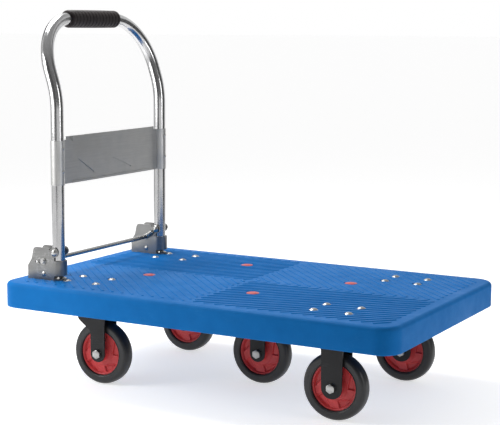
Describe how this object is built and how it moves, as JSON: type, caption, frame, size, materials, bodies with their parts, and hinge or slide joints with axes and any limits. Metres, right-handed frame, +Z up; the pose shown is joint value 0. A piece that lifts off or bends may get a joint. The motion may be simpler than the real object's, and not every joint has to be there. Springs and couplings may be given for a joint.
{
  "type": "folding platform cart",
  "caption": "Flat moulded deck on casters, some swivelling and some fixed, with a push handle that unlocks at a foot rod and folds down over the deck.",
  "frame": {"origin": "on the floor, under the middle of the deck", "axes": "+X along the deck away from the handle, +Y to the left of a person pushing, +Z up"},
  "size_m": [0.9, 0.564, 0.7865],
  "materials": {
    "deck_blue": "moulded, satin",
    "plug_red": "moulded, gloss",
    "zinc_fasteners": "bright zinc plate",
    "bearing_steel": "ground steel",
    "caster_black": "black powder coat, satin",
    "tyre_black": "solid rubber",
    "hub_red": "moulded, semi-gloss",
    "bearing_plastic": "nylon",
    "tube_steel": "bright plated tube",
    "grip_rubber": "ribbed foam rubber",
    "plug_plastic": "nylon",
    "panel_steel": "satin grey",
    "bracket_steel": "dull zinc plate",
    "cap_black": "moulded",
    "rod_steel": "dull zinc plate",
    "spring_steel": "drawn wire"
  },
  "bodies": {
    "deck": {"deck": "deck_blue", "deck_plugs": "plug_red", "caster_bolts": "zinc_fasteners", "caster_nuts": "zinc_fasteners", "middle_caster_screws": "zinc_fasteners", "bracket_bolts": "zinc_fasteners", "bracket_washers": "zinc_fasteners", "bracket_nuts": "zinc_fasteners", "fixed_axle_bolts": "zinc_fasteners", "fixed_axle_nuts": "zinc_fasteners", "kingpins": "zinc_fasteners", "kingpin_nuts": "zinc_fasteners", "bracket_brace_pins": "zinc_fasteners", "pivot_bolts": "zinc_fasteners", "pivot_nuts": "zinc_fasteners", "swivel_balls": "bearing_steel", "fixed_axle_sleeves": "bearing_steel", "swivel_plate_rear_right": "caster_black", "swivel_plate_rear_left": "caster_black", "swivel_plate_middle": "caster_black", "fixed_fork_front_right": "caster_black", "fixed_fork_front_left": "caster_black", "handle_bracket_right": "bracket_steel", "handle_bracket_left": "bracket_steel", "pivot_caps": "cap_black", "foot_rod_springs": "spring_steel"},
    "swivel_rear_right": {"swivel_fork_rear_right": "caster_black", "axle_bolt_rear_right": "zinc_fasteners", "axle_nut_rear_right": "zinc_fasteners", "axle_sleeve_rear_right": "bearing_steel"},
    "swivel_rear_left": {"swivel_fork_rear_left": "caster_black", "axle_bolt_rear_left": "zinc_fasteners", "axle_nut_rear_left": "zinc_fasteners", "axle_sleeve_rear_left": "bearing_steel"},
    "swivel_middle": {"swivel_fork_middle": "caster_black", "axle_bolt_middle": "zinc_fasteners", "axle_nut_middle": "zinc_fasteners", "axle_sleeve_middle": "bearing_steel"},
    "wheel_rear_right": {"tyre_rear_right": "tyre_black", "hub_rear_right": "hub_red", "wheel_bearing_rear_right": "bearing_plastic"},
    "wheel_rear_left": {"tyre_rear_left": "tyre_black", "hub_rear_left": "hub_red", "wheel_bearing_rear_left": "bearing_plastic"},
    "wheel_middle": {"tyre_middle": "tyre_black", "hub_middle": "hub_red", "wheel_bearing_middle": "bearing_plastic"},
    "wheel_front_right": {"tyre_front_right": "tyre_black", "hub_front_right": "hub_red", "wheel_bearing_front_right": "bearing_plastic"},
    "wheel_front_left": {"tyre_front_left": "tyre_black", "hub_front_left": "hub_red", "wheel_bearing_front_left": "bearing_plastic"},
    "handle": {"handle_tube": "tube_steel", "handle_grip": "grip_rubber", "handle_foot_plugs": "plug_plastic", "handle_panel": "panel_steel", "panel_screws": "zinc_fasteners"},
    "foot_rod": {"foot_rod": "rod_steel", "foot_rod_clips": "zinc_fasteners"}
  },
  "joints": [
    {"name": "swivel_rear_right", "type": "hinge", "parent": "deck", "child": "swivel_rear_right", "pos_m": [-0.295, -0.172, 0.15], "axis": [0, 0, 1], "continuous": true},
    {"name": "swivel_rear_left", "type": "hinge", "parent": "deck", "child": "swivel_rear_left", "pos_m": [-0.295, 0.172, 0.15], "axis": [0, 0, 1], "continuous": true},
    {"name": "swivel_middle", "type": "hinge", "parent": "deck", "child": "swivel_middle", "pos_m": [-0.005, 0, 0.15], "axis": [0, 0, 1], "continuous": true},
    {"name": "roll_rear_right", "type": "hinge", "parent": "swivel_rear_right", "child": "wheel_rear_right", "pos_m": [-0.2595, -0.172, 0.067], "axis": [0, 1, 0], "continuous": true},
    {"name": "roll_rear_left", "type": "hinge", "parent": "swivel_rear_left", "child": "wheel_rear_left", "pos_m": [-0.2595, 0.172, 0.067], "axis": [0, 1, 0], "continuous": true},
    {"name": "roll_middle", "type": "hinge", "parent": "swivel_middle", "child": "wheel_middle", "pos_m": [0.0305, 0, 0.067], "axis": [0, 1, 0], "continuous": true},
    {"name": "roll_front_right", "type": "hinge", "parent": "deck", "child": "wheel_front_right", "pos_m": [0.286, -0.172, 0.067], "axis": [0, 1, 0], "continuous": true},
    {"name": "roll_front_left", "type": "hinge", "parent": "deck", "child": "wheel_front_left", "pos_m": [0.286, 0.172, 0.067], "axis": [0, 1, 0], "continuous": true},
    {"name": "handle_fold", "type": "hinge", "parent": "deck", "child": "handle", "pos_m": [-0.355, 0, 0.278], "axis": [0, 1, 0], "range_deg": [0, 98]},
    {"name": "foot_rod_press", "type": "slide", "parent": "deck", "child": "foot_rod", "axis": [-0.9792, 0, -0.2028], "range_m": [0, 0.008], "stiffness_N_per_m": 900, "springref_m": -0.006, "deforming": ["foot_rod_springs"]}
  ]
}
